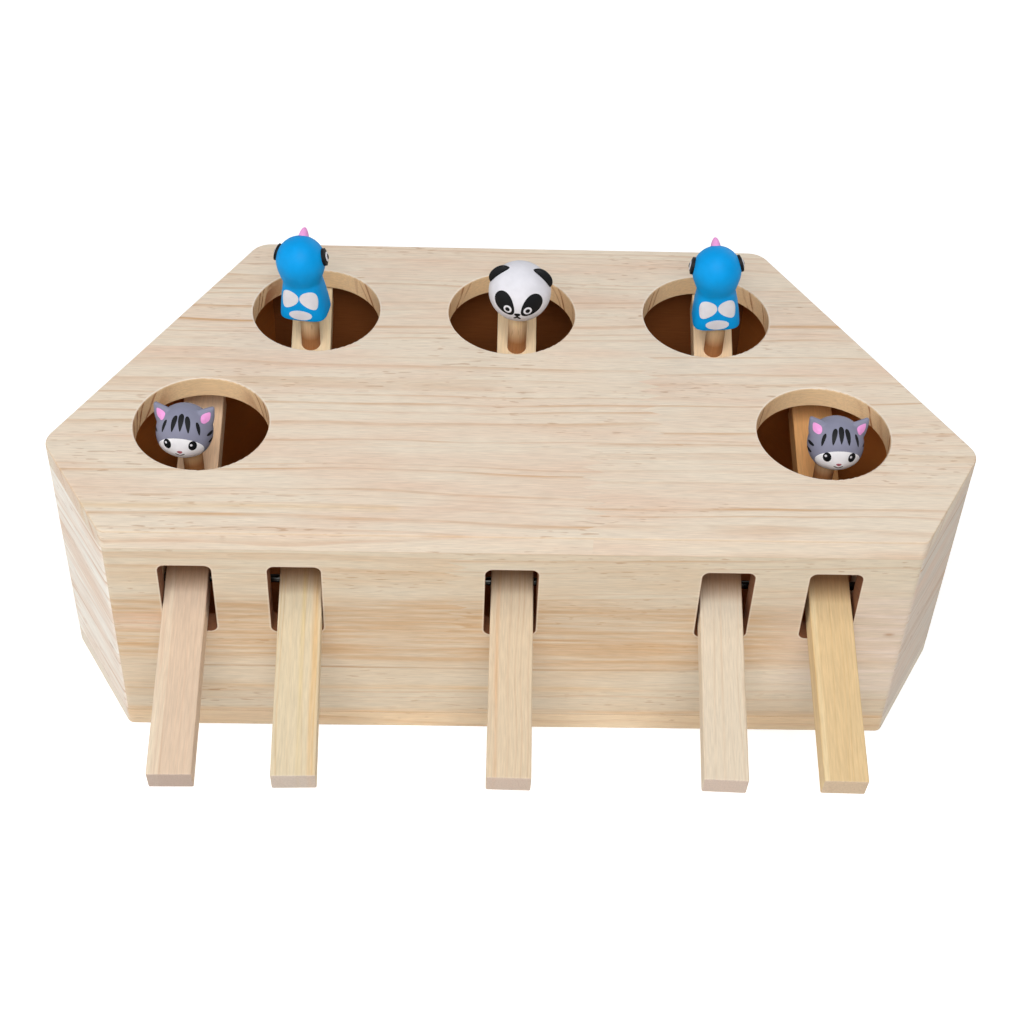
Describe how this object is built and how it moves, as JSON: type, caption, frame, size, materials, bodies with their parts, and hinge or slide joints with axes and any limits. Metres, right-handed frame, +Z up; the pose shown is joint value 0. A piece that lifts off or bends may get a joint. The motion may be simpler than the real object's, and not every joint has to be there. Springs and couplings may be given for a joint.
{
  "type": "whack-a-mole toy",
  "caption": "Six-sided pine box with round holes in its lid; wooden levers on a steel rod raise small rubber animal figures through the holes when pressed at the front.",
  "frame": {"origin": "on the table, in the middle of the toy's outline seen from above, with the figures up", "axes": "+X from the player's left to right, +Y from the lever tips to the back board, +Z up"},
  "size_m": [0.3226, 0.22, 0.1342],
  "materials": {
    "pine": "sanded pine, unvarnished",
    "lever_wood": "planed stick, unvarnished",
    "dowel_wood": "turned dowel, unvarnished",
    "steel": "drawn wire",
    "grey_rubber": "moulded and painted soft rubber",
    "blue_rubber": "moulded and painted soft rubber",
    "white_rubber": "moulded and painted soft rubber"
  },
  "bodies": {
    "casing": {"top_board": "pine", "bottom_board": "pine", "front_board": "pine", "back_board": "pine", "left_side_board": "pine", "right_side_board": "pine", "left_corner_board": "pine", "right_corner_board": "pine", "pivot_rod": "steel", "axle_block_1": "pine", "axle_block_2": "pine", "axle_block_3": "pine", "axle_block_4": "pine"},
    "rocker_1": {"lever_1": "lever_wood", "dowel_1": "dowel_wood", "left_kitten": "grey_rubber"},
    "rocker_2": {"lever_2": "lever_wood", "dowel_2": "dowel_wood", "left_hatchling": "blue_rubber"},
    "rocker_3": {"lever_3": "lever_wood", "dowel_3": "dowel_wood", "panda": "white_rubber"},
    "rocker_4": {"lever_4": "lever_wood", "dowel_4": "dowel_wood", "right_hatchling": "blue_rubber"},
    "rocker_5": {"lever_5": "lever_wood", "dowel_5": "dowel_wood", "right_kitten": "grey_rubber"}
  },
  "joints": [
    {"name": "lever_1_pivot", "type": "hinge", "parent": "casing", "child": "rocker_1", "pos_m": [-0.1123, -0.03209, 0.063], "axis": [1, 0, 0], "range_deg": [-50, 7]},
    {"name": "lever_2_pivot", "type": "hinge", "parent": "casing", "child": "rocker_2", "pos_m": [-0.0731, -0.03209, 0.063], "axis": [1, 0, 0], "range_deg": [-33, 0]},
    {"name": "lever_3_pivot", "type": "hinge", "parent": "casing", "child": "rocker_3", "pos_m": [0.00006, -0.03209, 0.063], "axis": [1, 0, 0], "range_deg": [-33, 0]},
    {"name": "lever_4_pivot", "type": "hinge", "parent": "casing", "child": "rocker_4", "pos_m": [0.0726, -0.03209, 0.063], "axis": [1, 0, 0], "range_deg": [-33, 0]},
    {"name": "lever_5_pivot", "type": "hinge", "parent": "casing", "child": "rocker_5", "pos_m": [0.11034, -0.03209, 0.063], "axis": [1, 0, 0], "range_deg": [-50, 7]}
  ]
}
